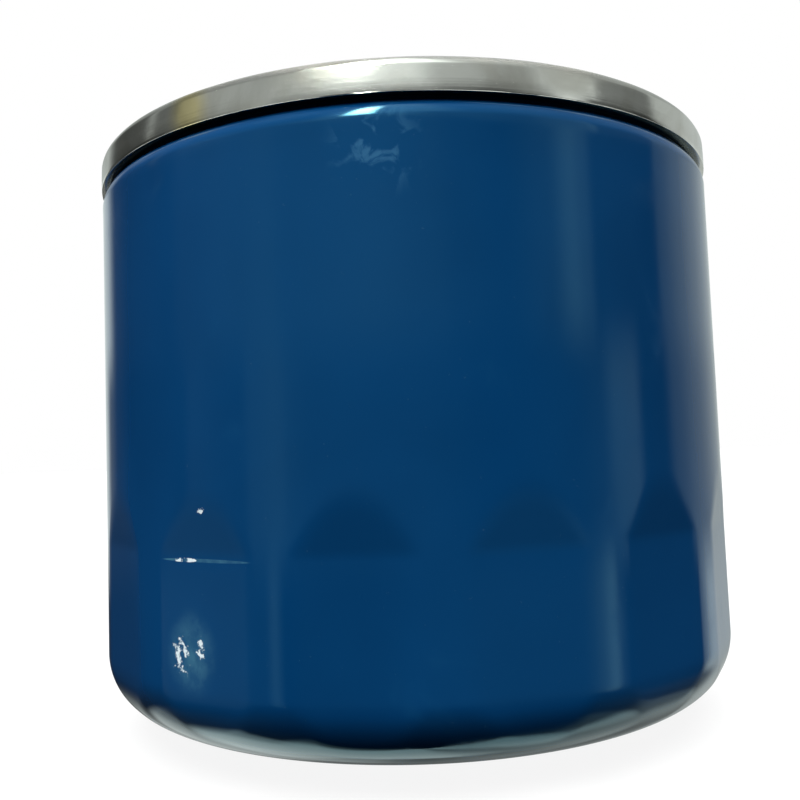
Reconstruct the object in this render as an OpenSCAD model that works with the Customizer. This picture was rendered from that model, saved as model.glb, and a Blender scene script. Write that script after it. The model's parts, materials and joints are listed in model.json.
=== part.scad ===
// Spin-on engine oil filter, standing on its domed end with the threaded end up.
// Millimetres. +Z runs along the thread axis and out of the thread's mouth.
// The origin is the centre of the flat foot under the dome.

/* [Can] */
// Outer radius of the can wall
can_r = 38; // [37:0.5:39]
// Sheet thickness of the can
can_t = 0.5; // [0.45:0.05:0.55]
// Radius of the rounded corner between wall and dome
corner_r = 7; // [6:0.5:8]
// Radius of the flat foot in the middle of the dome
foot_r = 14; // [12:1:16]
// Slope of the dome from the foot out to the corner, in degrees
dome_slope = 7; // [6:0.5:8]
// Height of the seam ring's top above the foot
seam_top = 67; // [66.5:0.5:71]

/* [Wrench flats] */
// Number of flats round the domed end
flat_count = 15; // [14:1:16]
// Depth of a flat below the round wall
flat_depth = 0.45; // [0.4:0.05:0.45]
// Height of the crease at the top of each flat
flat_top = 22.4; // [20:0.2:24]
// Height of the pointed roof above the crease
roof_h = 4.1; // [3.5:0.1:4.5]
// Angle from the front to the first flat, in degrees
flat_turn = 15.8; // [0:0.2:24]

/* [Lid and base plate] */
// Sheet thickness of the seaming lid
lid_t = 0.4; // [0.35:0.05:0.4]
// Outer radius of the double seam
seam_r = 38.1; // [38.1:0.1:38.4]
// Thickness of the base plate
plate_t = 3.2; // [3:0.1:3.5]
// Outer radius of the base plate
plate_r = 34; // [33:0.5:35]
// Nominal radius of the thread
thread_r = 10; // [9.5:0.5:10]
// Pitch of the thread
thread_pitch = 1.5; // [1.25:0.25:1.5]
// Outer radius of the threaded collar
collar_r = 12.2; // [12:0.1:12.2]
// Length of the threaded collar, the plate's thickness included
collar_h = 9.5; // [9:0.5:9.5]
// Number of oil inlet holes
inlet_count = 8; // [6:1:8]
// Radius of an inlet hole
inlet_r = 3.25; // [3:0.05:3.25]
// Radius of the circle that the inlet holes stand on
inlet_ring_r = 21.5; // [21.5:0.1:21.8]

/* [Mounting gasket] */
// Inner radius of the gasket
gasket_in_r = 31.5; // [31.4:0.1:32]
// Outer radius of the gasket
gasket_out_r = 35; // [34.8:0.1:35.5]
// Height of the gasket's face above the seam ring
gasket_proud = 0.8; // [0.6:0.1:1.8]

/* [Filter element] */
// Outer radius of the end caps
cap_r = 33.5; // [33.3:0.1:34]
// Sheet thickness of the end caps
cap_t = 0.4; // [0.3:0.05:0.4]
// Height of the bottom end cap's underside
element_low = 12; // [12:0.5:13]
// Height of the top end cap's upper face
element_high = 54.5; // [53.5:0.5:54.5]
// Number of paper pleats
pleat_count = 48; // [40:1:52]
// Thickness of the paper
paper_t = 0.6; // [0.5:0.05:0.6]
// Outer radius of the perforated centre tube
tube_r = 17.2; // [17:0.1:17.2]
// Wall of the centre tube
tube_t = 0.6; // [0.5:0.05:0.6]

/* [Bypass valve] */
// Radius of the valve port in the bottom end cap
port_r = 7; // [6.5:0.1:7]
// Radius of the valve disc
disc_r = 11.7; // [11:0.1:11.7]
// Height of the valve cage
cage_h = 16; // [15.5:0.5:17]
// Wire diameter of the valve spring
wire_d = 1.2; // [1:0.1:1.2]
// Turns of the valve spring
spring_turns = 6; // [5:0.5:6]

/* [Hidden] */
$fn = 180;

// Gap left between pieces that touch
gap = 0.05;

// Dome and corner: the corner arc meets the dome cone on a tangent
corner_centre_r = can_r - corner_r;
dome_end_r = corner_centre_r + corner_r * sin(dome_slope);
corner_z = (dome_end_r - foot_r) * tan(dome_slope) + corner_r * cos(dome_slope);

// Double seam, from the outside in: lid wall, can hook, lid hook, can neck, lid chuck wall
seam_wall_r = seam_r - lid_t;
can_hook_r = seam_wall_r - gap;
lid_hook_r = can_hook_r - can_t - gap;
neck_r = lid_hook_r - lid_t - gap;
chuck_r = neck_r - can_t - gap;
seam_h = 3.4;
seam_low = seam_top - seam_h;
hook_top = seam_top - lid_t - gap;
hook_clearance = 0.15;
hook_low = seam_low + lid_t + hook_clearance;
compound_h = 0.35;
lid_hook_top = hook_top - can_t - compound_h - gap;
seam_round = 0.9;
lip_round = 0.45;
bend_r = 0.3;

// Shoulder of the can under the seam, which leaves a dark gap below the lid
shoulder_r = 2.6;
seam_gap = 0.3;
shoulder_z = seam_low - seam_gap;
shoulder_centre_r = can_r - shoulder_r;
shoulder_in_r = shoulder_r - can_t;
shoulder_turn = acos((neck_r - shoulder_centre_r) / shoulder_r);
shoulder_in_turn = acos((neck_r - can_t - shoulder_centre_r) / shoulder_in_r);
shoulder_base = shoulder_z - shoulder_r * sin(shoulder_turn);

// Lid floor, which holds the gasket and lies on the base plate
lid_depth = 3.6;
floor_z = seam_top - lid_depth;
floor_top = floor_z + lid_t;
bead_r = 30.3;
bead_out = 1;
lid_in_r = 25.8;
weld_ring_r = 27.6;
weld_r = 1.75;
weld_count = 8;

// Base plate and its thread; the bore is drawn at the thread's minor radius
plate_low = floor_z - plate_t;
collar_low = floor_z - collar_h;
minor_r = thread_r - 0.5413 * thread_pitch;
thread_chamfer = 1.2;
boss_r = 15.5;
boss_h = 3.2;
boss_low = plate_low - boss_h;

// Gasket
gasket_low = floor_top + gap;
gasket_top = seam_top + gasket_proud;
gasket_round = 0.6;

// Anti-drainback diaphragm: hub, cone and lip
hub_in_r = collar_r + gap;
hub_out_r = boss_r + 0.5;
hub_low = element_high + gap;
hub_top = boss_low - gap;
sleeve_r = 13.7;
sleeve_h = 3;
sleeve_low = element_high - sleeve_h;
membrane_t = 1.1;
membrane_step = 0.4;
membrane_low = hub_low + membrane_step;
lip_r = 28.6;
lip_in_r = 26.6;
lip_top = plate_low - gap;
lip_h = 1.9;
lip_low = lip_top - lip_h;

// Element
neck_hole_r = 13.8;
cap_rim_h = 3;
adhesive_t = 1.1;
media_low = element_low + cap_t + adhesive_t + 2 * gap;
media_high = element_high - cap_t - adhesive_t - 2 * gap;
media_h = media_high - media_low;
paper_inset = 1.4;
paper_clearance = 0.8;
media_out_r = cap_r - paper_inset;
media_in_r = tube_r + paper_clearance;
tip_half_w = 0.45;
seam_half_w = paper_t / 2 + 0.03;
clip_t = 0.3;
clip_depth = 5.5;

// Centre tube perforation
hole_r = 1.6;
hole_rows = 7;
holes_per_row = 12;

// Bypass valve stack above the port
seat_t = 0.5;
cap_floor = element_low + cap_t;
seat_h = 1.6;
seat_top = element_low + seat_h;
seal_t = 1.2;
seal_low = seat_top + gap;
disc_t = 0.8;
disc_low = seal_low + seal_t + gap;
disc_top = disc_low + disc_t;
rivet_r = 3;
rivet_head_r = 4.6;
cage_r = 12.6;
cage_t = 0.5;
cage_flange_r = 15.4;
cage_top = cap_floor + gap + cage_h;
spring_low = disc_top + gap;
spring_high = cage_top - cage_t - gap;
spring_r = 7.6;

// Support spring: a ring with legs that stand on the inside of the dome
leaf_t = 0.8;
leaf_w = 9;
leaf_count = 4;
leaf_ring_in_r = 9;
leaf_ring_r = 15;
leaf_top = element_low - gap;
leaf_foot_r = 26.5;
leaf_foot_z = can_t / cos(dome_slope) + (leaf_foot_r - foot_r) * tan(dome_slope) + gap;

// Points on an arc, from angle a to angle b
function arc(r, z, radius, a, b, steps = 8) =
    [for (i = [0:steps]) let (t = a + (b - a) * i / steps) [r + radius * cos(t), z + radius * sin(t)]];

function polar(r, a) = [r * cos(a), r * sin(a)];

// Unit normal to the left of the way from p to q
function left_of(p, q) = let (d = q - p) [-d[1], d[0]] / norm(d);

// A closed path moved sideways by the distance s, with mitred corners
function mitred(path, s) = [
    for (i = [0:len(path) - 1])
        let (
            n = len(path),
            a = left_of(path[(i + n - 1) % n], path[i]),
            b = left_of(path[i], path[(i + 1) % n])
        )
        path[i] + (a + b) * s / (1 + a * b)
];

// A strip of even thickness along an open path
function strip(path, t) =
    let (
        n = len(path),
        normal = [
            for (i = [0:n - 1])
                let (
                    a = left_of(path[max(i - 1, 0)], path[max(i, 1)]),
                    b = left_of(path[min(i, n - 2)], path[min(i + 1, n - 1)])
                )
                (a + b) / (1 + a * b)
        ]
    )
    concat(
        [for (i = [0:n - 1]) path[i] + normal[i] * t / 2],
        [for (i = [n - 1:-1:0]) path[i] - normal[i] * t / 2]
    );

module revolve(outline) {
    rotate_extrude() polygon(outline);
}

module ring(out_r, in_r, low, high) {
    revolve([[in_r, low], [out_r, low], [out_r, high], [in_r, high]]);
}

module around(count, turn = 0) {
    for (i = [0:count - 1]) rotate(turn + i * 360 / count) children();
}

// ---------- housing ----------

// What the flats take away from a round wall of radius r: a plane, then a bowed roof above it
module flat_cutters(r) {
    lead = 1;
    bow_r = (pow(roof_h + lead, 2) - pow(lead, 2)) / (2 * flat_depth);
    bow_centre = r - sqrt(pow(bow_r, 2) - pow(lead, 2));
    width = 2 * can_r * tan(180 / flat_count);
    low = 1;
    around(flat_count, flat_turn - 90) difference() {
        translate([r - flat_depth, -width / 2, low])
            cube([3, width, flat_top + roof_h + lead - low]);
        translate([bow_centre, 0, flat_top + roof_h + lead])
            rotate([90, 0, 0]) cylinder(r = bow_r, h = width + 2, center = true);
    }
}

module can_form(outline, wall_r) {
    difference() {
        revolve(outline);
        flat_cutters(wall_r);
    }
}

module can_shell() {
    outside = concat(
        [[0, 0], [foot_r, 0]],
        arc(corner_centre_r, corner_z, corner_r, dome_slope - 90, 0, 12),
        arc(shoulder_centre_r, shoulder_base, shoulder_r, 0, shoulder_turn, 6),
        [[neck_r, hook_top - can_t], [can_hook_r - can_t, hook_top - can_t]],
        [[can_hook_r - can_t, hook_low], [can_hook_r, hook_low]],
        arc(can_hook_r - can_t, hook_top - can_t, can_t, 0, 90, 4),
        arc(neck_r, hook_top - can_t, can_t, 90, 180, 4),
        [[0, hook_top - can_t]]
    );
    mouth = seam_top + 1;
    inside_foot_r = foot_r - can_t * tan(dome_slope / 2);
    inside = concat(
        [[0, can_t], [inside_foot_r, can_t]],
        arc(corner_centre_r, corner_z, corner_r - can_t, dome_slope - 90, 0, 12),
        arc(shoulder_centre_r, shoulder_base, shoulder_in_r, 0, shoulder_in_turn, 6),
        [[neck_r - can_t, mouth], [0, mouth]]
    );
    color([0.02, 0.15, 0.36]) difference() {
        can_form(outside, can_r);
        can_form(inside, can_r - can_t);
    }
}

module seam_lid() {
    hook_in_r = lid_hook_r - lid_t;
    outline = concat(
        [[lid_in_r, floor_z], [bead_r - bead_out + lid_t, floor_z]],
        arc(bead_r, floor_top, bead_out - lid_t, 180, 0),
        [[bead_r + bead_out - lid_t, floor_z], [chuck_r - bend_r, floor_z]],
        arc(chuck_r - bend_r, floor_z + bend_r, bend_r, -90, 0, 4),
        [[chuck_r, seam_top - lid_t], [seam_wall_r, seam_top - lid_t]],
        [[seam_wall_r, seam_low + lid_t], [lid_hook_r, seam_low + lid_t]],
        [[lid_hook_r, lid_hook_top], [hook_in_r, lid_hook_top], [hook_in_r, seam_low + bend_r]],
        arc(hook_in_r + bend_r, seam_low + bend_r, bend_r, 180, 270, 4),
        arc(seam_r - lip_round, seam_low + lip_round, lip_round, -90, 0, 5),
        arc(seam_r - seam_round, seam_top - seam_round, seam_round, 0, 90),
        arc(chuck_r - lid_t + seam_round, seam_top - seam_round, seam_round, 90, 180),
        [[chuck_r - lid_t, floor_top], [bead_r + bead_out, floor_top]],
        arc(bead_r, floor_top, bead_out, 0, 180, 10),
        [[lid_in_r, floor_top]]
    );
    color([0.78, 0.78, 0.76]) difference() {
        revolve(outline);
        around(weld_count, 22.5) translate([weld_ring_r, 0, floor_z - 1]) cylinder(r = weld_r, h = 3);
    }
}

module spot_welds() {
    dome_h = 0.25;
    nugget_r = weld_r - gap;
    color([0.55, 0.55, 0.55]) around(weld_count, 22.5) translate([weld_ring_r, 0, 0]) {
        translate([0, 0, floor_z + gap]) cylinder(r = nugget_r, h = lid_t - gap);
        translate([0, 0, floor_top]) cylinder(r1 = nugget_r, r2 = nugget_r - 0.6, h = dome_h);
    }
}

module base_plate() {
    edge = 0.5;
    lead_out = 0.8;
    outline = concat(
        [[minor_r, collar_low + lead_out], [minor_r + lead_out, collar_low], [collar_r, collar_low]],
        [[collar_r, boss_low], [boss_r, boss_low], [boss_r, plate_low]],
        [[plate_r - edge, plate_low], [plate_r, plate_low + edge]],
        [[plate_r, floor_z - gap - edge], [plate_r - edge, floor_z - gap]],
        [[minor_r + thread_chamfer, floor_z - gap], [minor_r, floor_z - gap - thread_chamfer]]
    );
    color([0.42, 0.42, 0.40]) difference() {
        revolve(outline);
        around(inlet_count) translate([inlet_ring_r, 0, plate_low - 1]) cylinder(r = inlet_r, h = plate_t + 2);
    }
}

module mounting_gasket() {
    edge = 0.3;
    outline = concat(
        [[gasket_in_r + edge, gasket_low], [gasket_out_r - edge, gasket_low], [gasket_out_r, gasket_low + edge]],
        arc(gasket_out_r - gasket_round, gasket_top - gasket_round, gasket_round, 0, 90, 6),
        arc(gasket_in_r + gasket_round, gasket_top - gasket_round, gasket_round, 90, 180, 6),
        [[gasket_in_r, gasket_low + edge]]
    );
    color([0.05, 0.05, 0.05]) revolve(outline);
}

module seam_compound() {
    low = lid_hook_top + gap;
    color([0.75, 0.72, 0.62])
        ring(lid_hook_r, lid_hook_r - lid_t, low, hook_top - can_t - gap);
}

// ---------- anti-drainback valve ----------

module antidrain_diaphragm() {
    edge = 0.4;
    outline = [
        [hub_in_r, sleeve_low], [sleeve_r, sleeve_low], [sleeve_r, hub_low], [hub_out_r, hub_low],
        [hub_out_r, membrane_low], [lip_in_r, lip_low], [lip_r - edge, lip_low + edge], [lip_r, lip_low + 2 * edge],
        [lip_r, lip_top - edge], [lip_r - edge, lip_top], [lip_in_r + 2 * edge, lip_top],
        [lip_in_r, lip_low + membrane_t], [hub_out_r, membrane_low + membrane_t],
        [hub_out_r, hub_top], [hub_in_r, hub_top]
    ];
    color([0.55, 0.16, 0.06]) revolve(outline);
}

// ---------- filter element ----------

module top_end_cap() {
    outline = [
        [neck_hole_r, element_high - cap_rim_h], [neck_hole_r + cap_t, element_high - cap_rim_h],
        [neck_hole_r + cap_t, element_high - cap_t], [cap_r - cap_t, element_high - cap_t],
        [cap_r - cap_t, element_high - cap_rim_h], [cap_r, element_high - cap_rim_h],
        [cap_r, element_high - cap_t], [cap_r - cap_t, element_high],
        [neck_hole_r + cap_t, element_high], [neck_hole_r, element_high - cap_t]
    ];
    color([0.72, 0.73, 0.72]) revolve(outline);
}

module bottom_end_cap() {
    edge = 0.15;
    outline = [
        [port_r, element_low], [cap_r - cap_t, element_low], [cap_r, element_low + cap_t],
        [cap_r, element_low + cap_rim_h], [cap_r - cap_t, element_low + cap_rim_h],
        [cap_r - cap_t, cap_floor], [port_r + seat_t, cap_floor], [port_r + seat_t, seat_top - edge],
        [port_r + seat_t - edge, seat_top], [port_r + edge, seat_top], [port_r, seat_top - edge]
    ];
    color([0.72, 0.73, 0.72]) revolve(outline);
}

module top_cap_adhesive() {
    high = element_high - cap_t - gap;
    color([0.80, 0.76, 0.62])
        ring(cap_r - cap_t - gap, neck_hole_r + cap_t + gap, high - adhesive_t, high);
}

// Laps over the flange of the valve cage and holds it down
module bottom_cap_adhesive() {
    lap = 1;
    low = cap_floor + gap;
    high = low + adhesive_t;
    over_flange = low + cage_t + gap;
    outline = [
        [cage_flange_r - lap, over_flange], [cage_flange_r + gap, over_flange], [cage_flange_r + gap, low],
        [cap_r - cap_t - gap, low], [cap_r - cap_t - gap, high], [cage_flange_r - lap, high]
    ];
    color([0.80, 0.76, 0.62]) revolve(outline);
}

// The paper's centre line seen from above; the first pleat is the closed one that joins the two ends
function pleat_line() =
    let (pitch = 360 / pleat_count)
    [
        for (k = [0:pleat_count - 1])
            let (
                half_w = k == 0 ? seam_half_w : tip_half_w,
                root_from = k == 0 ? asin(seam_half_w / media_in_r) : pitch / 2 - asin(tip_half_w / media_in_r),
                root_to = k == pleat_count - 1
                    ? pitch - asin(seam_half_w / media_in_r)
                    : pitch / 2 + asin(tip_half_w / media_in_r),
                tip = asin(half_w / media_out_r)
            )
            each [
                polar(media_out_r, k * pitch - tip), polar(media_out_r, k * pitch + tip),
                polar(media_in_r, k * pitch + root_from), polar(media_in_r, k * pitch + root_to)
            ]
    ];

module pleated_media() {
    line = pleat_line();
    n = len(line);
    color([0.88, 0.80, 0.60]) translate([0, 0, media_low]) rotate(90) linear_extrude(height = media_h)
        polygon(
            points = concat(mitred(line, paper_t / 2), mitred(line, -paper_t / 2)),
            paths = [[for (i = [0:n - 1]) i], [for (i = [0:n - 1]) n + i]]
        );
}

// A folded steel strip that grips the two ends of the paper
module media_seam_clip() {
    slot_w = 2 * seam_half_w + paper_t + 2 * gap;
    slot_r = media_out_r + paper_t / 2 + gap;
    inset = 0.5;
    color([0.70, 0.70, 0.68]) rotate(90) translate([0, 0, media_low + inset]) difference() {
        translate([slot_r - clip_depth, -slot_w / 2 - clip_t, 0])
            cube([clip_depth + clip_t, slot_w + 2 * clip_t, media_h - 2 * inset]);
        translate([slot_r - clip_depth - 1, -slot_w / 2, -1])
            cube([clip_depth + 1, slot_w, media_h + 2]);
    }
}

module centre_tube() {
    pitch = media_h / hole_rows;
    step = 360 / holes_per_row;
    color([0.66, 0.67, 0.66]) difference() {
        ring(tube_r, tube_r - tube_t, media_low, media_high);
        for (row = [0:hole_rows - 1]) translate([0, 0, media_low + (row + 0.5) * pitch])
            around(holes_per_row, (0.25 + (row % 2) / 2) * step) rotate([0, 90, 0])
                translate([0, 0, tube_r - tube_t - 1]) cylinder(r = hole_r, h = tube_t + 2);
    }
}

// ---------- bypass valve ----------

module bypass_cage() {
    window_w = 7;
    sill = 3.2;
    hole_in_top_r = 4.5;
    low = cap_floor + gap;
    outline = [
        [cage_r - cage_t, low], [cage_flange_r, low], [cage_flange_r, low + cage_t], [cage_r, low + cage_t],
        [cage_r, cage_top - cage_t], [cage_r - cage_t, cage_top], [hole_in_top_r, cage_top],
        [hole_in_top_r, cage_top - cage_t], [cage_r - cage_t, cage_top - cage_t]
    ];
    color([0.60, 0.62, 0.60]) difference() {
        revolve(outline);
        for (a = [0, 90]) rotate(a) translate([-cage_r - 1, -window_w / 2, cap_floor + sill])
            cube([2 * cage_r + 2, window_w, cage_h - 2 * sill]);
    }
}

module bypass_seal() {
    inset = 1;
    color([0.06, 0.06, 0.06]) ring(disc_r - inset, rivet_r + gap, seal_low, seal_low + seal_t);
}

module bypass_disc() {
    cup_h = 1.2;
    cup_t = 0.6;
    cup_r = spring_r - wire_d / 2 - gap;
    outline = [
        [rivet_r + gap, disc_low], [disc_r, disc_low], [disc_r, disc_top], [cup_r, disc_top],
        [cup_r, disc_top + cup_h], [cup_r - cup_t, disc_top + cup_h], [cup_r - cup_t, disc_top],
        [rivet_r + gap, disc_top]
    ];
    color([0.68, 0.66, 0.58]) revolve(outline);
}

module bypass_rivet() {
    head_h = 0.6;
    edge = 0.4;
    low = seal_low - gap;
    high = disc_top + gap;
    outline = [
        [0, low - head_h], [rivet_head_r - edge, low - head_h], [rivet_head_r, low], [rivet_r, low],
        [rivet_r, high], [rivet_head_r, high], [rivet_head_r - edge, high + head_h], [0, high + head_h]
    ];
    color([0.62, 0.63, 0.62]) revolve(outline);
}

// Height of the wire's centre after the share t of all turns; the end turns lie flat
function coil_height(t, low, high, end_share) =
    let (
        free = 1 - 2 * end_share,
        s = min(max((t - end_share) / free, 0), 1),
        pad = wire_d * 0.6,
        from = low + wire_d / 2,
        to = high - wire_d / 2
    )
    t < end_share ? from + pad * t / end_share
    : t > 1 - end_share ? to - pad * (1 - t) / end_share
    : from + pad + (to - from - 2 * pad) * s;

module bypass_spring() {
    sides = 10;
    per_turn = 24;
    rings = spring_turns * per_turn;
    centres = [
        for (i = [0:rings])
            let (a = 360 * spring_turns * i / rings)
            [spring_r * cos(a), spring_r * sin(a), coil_height(i / rings, spring_low, spring_high, 1 / spring_turns)]
    ];
    points = [
        for (i = [0:rings])
            let (a = 360 * spring_turns * i / rings)
            for (j = [0:sides - 1])
                let (b = 360 * j / sides)
                centres[i] + wire_d / 2 * [cos(b) * cos(a), cos(b) * sin(a), sin(b)]
    ];
    skin = [
        for (i = [0:rings - 1], j = [0:sides - 1])
            let (a = i * sides + j, b = i * sides + (j + 1) % sides)
            each [[a, b, b + sides], [a, b + sides, a + sides]]
    ];
    first = [for (j = [sides - 1:-1:0]) j];
    last = [for (j = [0:sides - 1]) rings * sides + j];
    color([0.50, 0.51, 0.52]) polyhedron(points = points, faces = concat(skin, [first, last]));
}

// ---------- support spring ----------

module support_spring() {
    middle = leaf_top - leaf_t / 2;
    low = leaf_foot_z + leaf_t / 2;
    leg = [
        [leaf_ring_r - 2, middle], [leaf_ring_r + 1, middle], [leaf_ring_r + 3, middle - 0.8],
        [leaf_foot_r - 2.5, low + 1.4], [leaf_foot_r - 1, low + 0.3], [leaf_foot_r, low + 0.1],
        [leaf_foot_r + 1, low + 0.5], [leaf_foot_r + 2, low + 1.6]
    ];
    color([0.45, 0.46, 0.47]) union() {
        ring(leaf_ring_r, leaf_ring_in_r, leaf_top - leaf_t, leaf_top);
        around(leaf_count, 45) rotate([90, 0, 0]) translate([0, 0, -leaf_w / 2])
            linear_extrude(height = leaf_w) polygon(strip(leg, leaf_t));
    }
}

can_shell();
seam_lid();
base_plate();
mounting_gasket();
spot_welds();
seam_compound();
antidrain_diaphragm();
top_end_cap();
top_cap_adhesive();
pleated_media();
media_seam_clip();
centre_tube();
bottom_cap_adhesive();
bottom_end_cap();
bypass_cage();
bypass_spring();
bypass_disc();
bypass_seal();
bypass_rivet();
support_spring();
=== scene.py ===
import json
import math

import bmesh
import bpy
import numpy as np
from mathutils import Matrix, Vector


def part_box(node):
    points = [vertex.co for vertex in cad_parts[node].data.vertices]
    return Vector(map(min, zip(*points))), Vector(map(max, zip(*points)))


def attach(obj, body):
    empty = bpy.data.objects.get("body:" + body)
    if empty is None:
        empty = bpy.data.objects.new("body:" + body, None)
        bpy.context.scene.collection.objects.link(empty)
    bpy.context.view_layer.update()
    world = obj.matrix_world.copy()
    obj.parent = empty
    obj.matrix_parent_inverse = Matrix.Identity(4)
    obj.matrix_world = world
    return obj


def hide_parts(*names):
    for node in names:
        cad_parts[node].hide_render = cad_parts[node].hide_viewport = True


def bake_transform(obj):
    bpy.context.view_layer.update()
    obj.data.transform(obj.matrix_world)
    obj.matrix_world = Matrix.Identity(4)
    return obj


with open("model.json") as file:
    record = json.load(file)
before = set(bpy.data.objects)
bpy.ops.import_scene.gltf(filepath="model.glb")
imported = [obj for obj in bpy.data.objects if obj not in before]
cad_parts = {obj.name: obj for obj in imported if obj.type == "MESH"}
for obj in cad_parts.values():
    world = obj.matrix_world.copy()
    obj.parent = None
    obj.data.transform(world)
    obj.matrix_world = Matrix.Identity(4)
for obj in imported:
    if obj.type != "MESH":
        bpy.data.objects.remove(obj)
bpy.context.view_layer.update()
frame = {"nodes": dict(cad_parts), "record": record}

# Lengths below are in millimetres and are turned into metres where a mesh is made.
MM = 0.001

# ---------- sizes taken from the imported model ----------


def span(node):
    """Lowest height, highest height and outer radius of a round node, in millimetres."""
    low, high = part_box(node)
    return low.z / MM, high.z / MM, high.x / MM


_, CAN_HIGH, CAN_R = span("can_shell")
LID_LOW, LID_HIGH, SEAM_R = span("seam_lid")
PLATE_LOW, PLATE_HIGH, PLATE_R = span("base_plate")
GASKET_LOW, GASKET_HIGH, GASKET_R = span("mounting_gasket")
FLAP_LOW, FLAP_HIGH, FLAP_R = span("antidrain_diaphragm")
PAPER_LOW, PAPER_HIGH, PAPER_R = span("pleated_media")
COIL_LOW, COIL_HIGH, COIL_R = span("bypass_spring")

# Can
CAN_T = 0.5
CORNER_R = 7.0
FOOT_R = 14.0
DOME_SLOPE = math.radians(7)
SHOULDER_R = 2.3
NECK_R = 36.65
SEAM_LOW = LID_HIGH - 3.65
SHOULDER_Z = LID_HIGH - 3.7

# How far the sheet metal is out of round: the can's wall, and the seam's fine and broad waves
UNEVEN_WALL = 0.03
ROLLED_DEPTH = 0.045
SWELL_DEPTH = 0.03

# Wrench flats: they fade in between FLAT_FOOT and FLAT_FULL and out between FLAT_TOP and the roof's tip
FLAT_COUNT = 15
FLAT_DEPTH = 0.40
FLAT_TOP = 22.0
FLAT_FOOT = 4.0
FLAT_FULL = 8.5
ROOF_H = 5.2
FLAT_TURN = math.radians(15.8)
FLAT_SOFTNESS = 0.12
CREASE_SOFTNESS = 0.1

# Base plate and thread
PLATE_UNDER = PLATE_HIGH - 3.15
COLLAR_R = 12.2
BOSS_R = 15.5
BOSS_LOW = PLATE_UNDER - 3.2
THREAD_MINOR_R = 9.188
THREAD_MAJOR_R = 10.0
THREAD_PITCH = 1.5
INLET_COUNT = 8
INLET_R = 3.25
INLET_RING_R = 21.5

# ---------- mesh helpers ----------


def add_object(name, mesh):
    piece = bpy.data.objects.new(name, mesh)
    bpy.context.scene.collection.objects.link(piece)
    return piece


def finish_mesh(name, mesh, sharp_degrees=35, weld=True):
    """Welds doubled points, turns the faces outward and shades smooth up to an angle."""
    work = bmesh.new()
    work.from_mesh(mesh)
    if weld:
        bmesh.ops.remove_doubles(work, verts=work.verts, dist=1e-7)
        bmesh.ops.dissolve_degenerate(work, edges=work.edges, dist=1e-8)
    bmesh.ops.recalc_face_normals(work, faces=work.faces)
    work.to_mesh(mesh)
    work.free()
    mesh.shade_smooth()
    mesh.set_sharp_from_angle(angle=math.radians(sharp_degrees))
    return add_object(name, mesh)


def grid_mesh(name, points, close_rows=True, close_columns=True, sharp_degrees=35):
    """A mesh from an array of points [row, column, xyz] in millimetres, closed on itself either way."""
    rows, columns = points.shape[:2]
    i, j = np.meshgrid(
        np.arange(rows if close_rows else rows - 1),
        np.arange(columns if close_columns else columns - 1),
        indexing="ij",
    )
    corner = [
        i * columns + j,
        i * columns + (j + 1) % columns,
        (i + 1) % rows * columns + (j + 1) % columns,
        (i + 1) % rows * columns + j,
    ]
    faces = np.stack(corner, -1).reshape(-1, 4)
    mesh = bpy.data.meshes.new(name)
    mesh.from_pydata((points.reshape(-1, 3) * MM).tolist(), [], faces.tolist())
    return finish_mesh(name, mesh, sharp_degrees)


def lathe(name, outline, segments=288, shape=None, sharp_degrees=35):
    """Turns a closed outline of (radius, height) round Z. shape(angle, radius, height) may move points."""
    outline = np.array(outline, float)
    angle = np.linspace(0, 2 * math.pi, segments, endpoint=False)[:, None]
    radius = np.repeat(outline[None, :, 0], segments, 0)
    height = np.repeat(outline[None, :, 1], segments, 0)
    if shape:
        radius, height = shape(angle, radius, height)
    points = np.stack([radius * np.cos(angle), radius * np.sin(angle), height], -1)
    return grid_mesh(name, points, sharp_degrees=sharp_degrees)


def arc(r, z, radius, start, end, steps=8):
    """Points on an arc round (r, z), from one angle to another in degrees."""
    turn = np.radians(np.linspace(start, end, steps + 1))
    return [(r + radius * math.cos(t), z + radius * math.sin(t)) for t in turn]


def rows_between(start, end, spacing):
    """Points on a straight stretch, both ends included."""
    start, end = np.array(start, float), np.array(end, float)
    count = max(1, round(np.linalg.norm(end - start) / spacing))
    return [tuple(start + (end - start) * k / count) for k in range(count + 1)]


def rounded(corners, radii, steps=5):
    """A closed outline with its corners rounded. radii holds one radius per corner, 0 for a sharp one."""
    count = len(corners)
    outline = []
    for k, radius in enumerate(radii):
        here, before, after = (Vector(corners[i % count]) for i in (k, k - 1, k + 1))
        if radius == 0:
            outline.append(tuple(here))
            continue
        back, ahead = (before - here).normalized(), (after - here).normalized()
        half = back.angle(ahead) / 2
        reach = min(radius / math.tan(half), (before - here).length / 2, (after - here).length / 2)
        start, end = here + back * reach, here + ahead * reach
        centre = here + (back + ahead).normalized() * reach / math.cos(half)
        for step in range(steps + 1):
            t = step / steps
            spoke = (start - centre).lerp(end - centre, t)
            outline.append(tuple(centre + spoke.normalized() * (start - centre).length))
    return outline


def waves(angle, counts, phases):
    """A repeatable, gently uneven wave round the axis, between about -1 and 1."""
    total = sum(np.sin(n * angle + p) for n, p in zip(counts, phases))
    return total / len(counts)


def soft_min(a, b, blend):
    """The smaller of two arrays, rounded where they cross."""
    overlap = np.maximum(blend - np.abs(a - b), 0) / blend
    return np.minimum(a, b) - overlap * overlap * blend / 4


# ---------- materials ----------


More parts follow.
